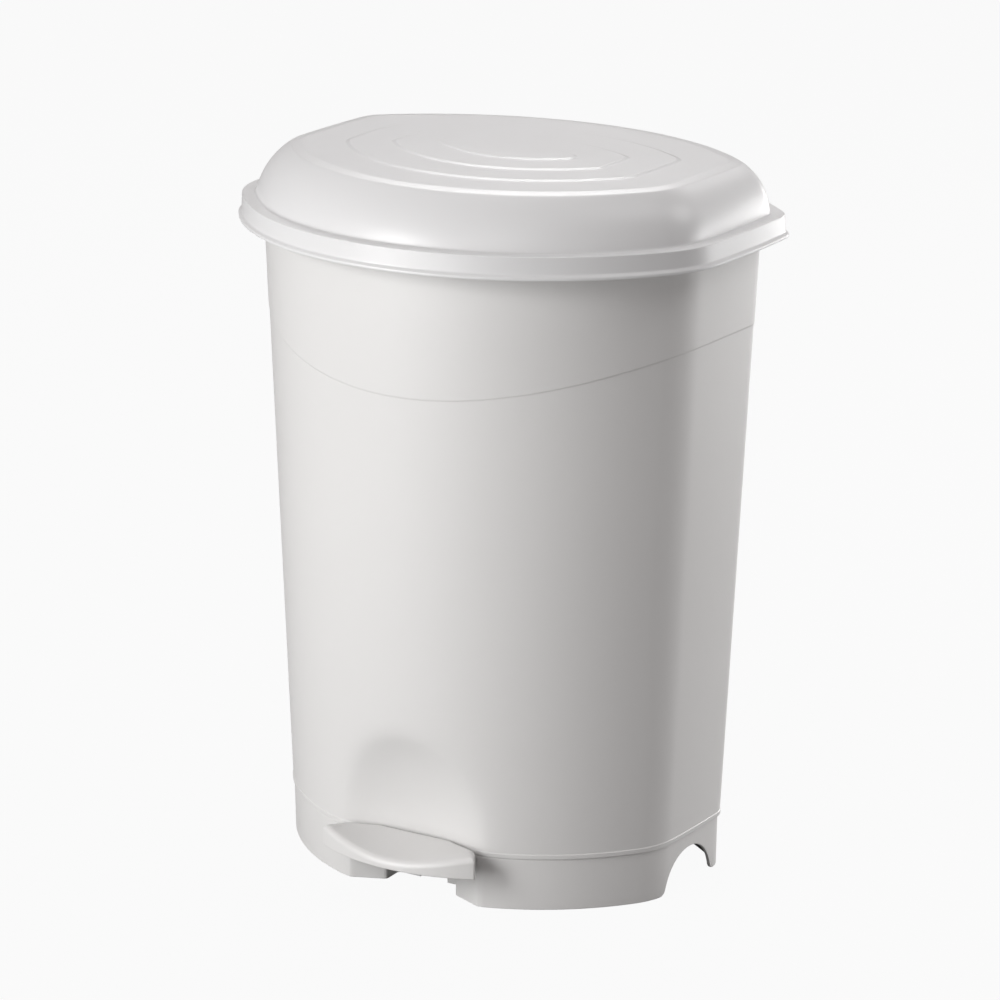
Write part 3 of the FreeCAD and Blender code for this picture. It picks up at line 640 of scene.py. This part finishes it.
def drawn_steel(name, colour, roughness):
    """Zinc-plated steel with a fine mottle in its colour, gloss and surface."""
    material, nodes, links = new_material(name)
    shader = nodes["Principled BSDF"]
    where = nodes.new("ShaderNodeTexCoord")
    mottle = nodes.new("ShaderNodeTexNoise")
    mottle.inputs["Scale"].default_value = 260.0
    mottle.inputs["Detail"].default_value = 5.0
    links.new(where.outputs["Object"], mottle.inputs["Vector"])
    tint = nodes.new("ShaderNodeValToRGB")
    tint.color_ramp.elements[0].color = (*[c * 0.8 for c in colour], 1.0)
    tint.color_ramp.elements[1].color = (*colour, 1.0)
    links.new(mottle.outputs["Fac"], tint.inputs["Fac"])
    links.new(tint.outputs["Color"], shader.inputs["Base Color"])
    gloss = nodes.new("ShaderNodeMapRange")
    gloss.inputs["To Min"].default_value = roughness - 0.08
    gloss.inputs["To Max"].default_value = roughness + 0.08
    links.new(mottle.outputs["Fac"], gloss.inputs["Value"])
    links.new(gloss.outputs["Result"], shader.inputs["Roughness"])
    bump = nodes.new("ShaderNodeBump")
    bump.inputs["Strength"].default_value = 0.2
    bump.inputs["Distance"].default_value = 0.00003
    links.new(mottle.outputs["Fac"], bump.inputs["Height"])
    links.new(bump.outputs["Normal"], shader.inputs["Normal"])
    shader.inputs["Metallic"].default_value = 1.0
    return material


FINISH = {
    "body_plastic": moulded_plastic("body_plastic", (0.70, 0.695, 0.685), 0.36),
    "lid_plastic": moulded_plastic("lid_plastic", (0.71, 0.71, 0.71), 0.34),
    "moulded_parts": moulded_plastic("moulded_parts", (0.69, 0.685, 0.675), 0.45, 900.0),
    "bucket_plastic": moulded_plastic("bucket_plastic", (0.36, 0.365, 0.37), 0.5, 700.0, 0.00004),
    "soft_rubber": moulded_plastic("soft_rubber", (0.55, 0.55, 0.54), 0.7, 500.0, 0.00006),
    "steel_wire": drawn_steel("steel_wire", (0.62, 0.62, 0.64), 0.32),
    "screw_steel": drawn_steel("screw_steel", (0.58, 0.58, 0.60), 0.38),
}

for part in frame["record"]["subparts"]:
    node = frame["nodes"][part["node"]]
    for place in node.material_slots:
        place.material = FINISH[part["material_slot"]]

# ---------------------------------------------------------------- pieces

piece("lid_dome", [lid_surface()], "lid", "lid_plastic", "lid_shell")
piece("body_shell", [body_surface()], "can", "body_plastic", "outer_body")
piece("base_wall", [base_surface()], "can", "body_plastic", "base_plinth")
piece("base_deck", [deck_surface(), web_surface(-WEB_X), web_surface(WEB_X)], "can", "body_plastic")
piece("pedal_tread", pedal_surface() + [pedal_pad()], "pedal", "body_plastic", "pedal_plate")


# ---------------------------------------------------------------- floor, light and camera

FLOOR_HALF_W = 12.0
FLOOR_TONE = 0.35
FLOOR_GLOW = 0.975
GLOW_SHARE = 0.97


def stage_floor():
    """Floor that the camera sees as an even bright sheet, while it lights the bin as a mid grey."""
    mesh = bpy.data.meshes.new("floor")
    corners = [(sx * FLOOR_HALF_W, sy * FLOOR_HALF_W, 0.0) for sx, sy in ((-1, -1), (1, -1), (1, 1), (-1, 1))]
    mesh.from_pydata(corners, [], [(0, 1, 2, 3)])
    material, nodes, links = new_material("floor_white")
    shader = nodes["Principled BSDF"]
    shader.inputs["Base Color"].default_value = (FLOOR_TONE, FLOOR_TONE, FLOOR_TONE, 1.0)
    shader.inputs["Roughness"].default_value = 0.9
    glow = nodes.new("ShaderNodeEmission")
    glow.inputs["Color"].default_value = (FLOOR_GLOW, FLOOR_GLOW, FLOOR_GLOW, 1.0)
    path = nodes.new("ShaderNodeLightPath")
    share = nodes.new("ShaderNodeMath")
    share.operation = "MULTIPLY"
    share.inputs[1].default_value = GLOW_SHARE
    blend = nodes.new("ShaderNodeMixShader")
    links.new(path.outputs["Is Camera Ray"], share.inputs[0])
    links.new(share.outputs[0], blend.inputs["Fac"])
    links.new(shader.outputs["BSDF"], blend.inputs[1])
    links.new(glow.outputs["Emission"], blend.inputs[2])
    links.new(blend.outputs["Shader"], nodes["Material Output"].inputs["Surface"])
    mesh.materials.append(material)
    floor = bpy.data.objects.new("floor", mesh)
    bpy.context.scene.collection.objects.link(floor)


LIGHT_DISTANCE = 2.4
LIGHT_SIZE = (0.8, 0.9)
LIGHT_AIM = Vector((0.0, 0.0, 0.27))


def area_light(name, azimuth, elevation, power):
    """Soft light aimed at the middle of the bin, placed by azimuth and elevation in degrees."""
    a, e = math.radians(azimuth), math.radians(elevation)
    back = Vector((math.sin(a) * math.cos(e), -math.cos(a) * math.cos(e), math.sin(e)))
    data = bpy.data.lights.new(name, "AREA")
    data.shape = "RECTANGLE"
    data.size, data.size_y = LIGHT_SIZE
    data.energy = power
    light = bpy.data.objects.new(name, data)
    light.location = LIGHT_AIM + back * LIGHT_DISTANCE
    light.rotation_euler = (-back).to_track_quat("-Z", "Y").to_euler()
    bpy.context.scene.collection.objects.link(light)


# Name, azimuth, elevation and power in watts
LIGHTS = [
    ("low_left", -27.7, 2.0, 15.5),
    ("low_front", -7.7, 2.0, 10.5),
    ("key", -27.7, 22.0, 28.0),
    ("front_high", 12.3, 42.0, 3.5),
    ("side_low", 132.3, 2.0, 15.0),
    ("side_high", 122.3, 42.0, 11.0),
    ("rim", 162.3, 2.0, 26.0),
    ("back_right", 172.3, 42.0, 6.0),
    ("back", 212.3, 42.0, 13.5),
    ("back_top", 212.3, 65.0, 8.0),
    ("top_right", 92.3, 65.0, 5.0),
]

stage_floor()
for light in LIGHTS:
    area_light(*light)

world = bpy.data.worlds.new("studio")
bpy.context.scene.world = world
world.use_nodes = True
world.node_tree.nodes["Background"].inputs["Color"].default_value = (1.0, 0.88, 0.88, 1.0)
world.node_tree.nodes["Background"].inputs["Strength"].default_value = 0.14
bpy.context.scene.view_settings.view_transform = "Standard"

CAMERA_AZIMUTH = math.radians(32.337)
CAMERA_ELEVATION = math.radians(16.441)
CAMERA_DISTANCE = 3.283
CAMERA_TARGET = Vector((-0.00144, 0.00209, 0.26705))
CAMERA_LENS = 161.081
CAMERA_SENSOR = 36.0

camera_data = bpy.data.cameras.new("camera")
camera_data.sensor_width = CAMERA_SENSOR
camera_data.lens = CAMERA_LENS
camera = bpy.data.objects.new("camera", camera_data)
away = Vector((math.sin(CAMERA_AZIMUTH) * math.cos(CAMERA_ELEVATION),
               -math.cos(CAMERA_AZIMUTH) * math.cos(CAMERA_ELEVATION), math.sin(CAMERA_ELEVATION)))
camera.location = CAMERA_TARGET + away * CAMERA_DISTANCE
camera.rotation_euler = (-away).to_track_quat("-Z", "Y").to_euler()
bpy.context.scene.collection.objects.link(camera)
bpy.context.scene.camera = camera
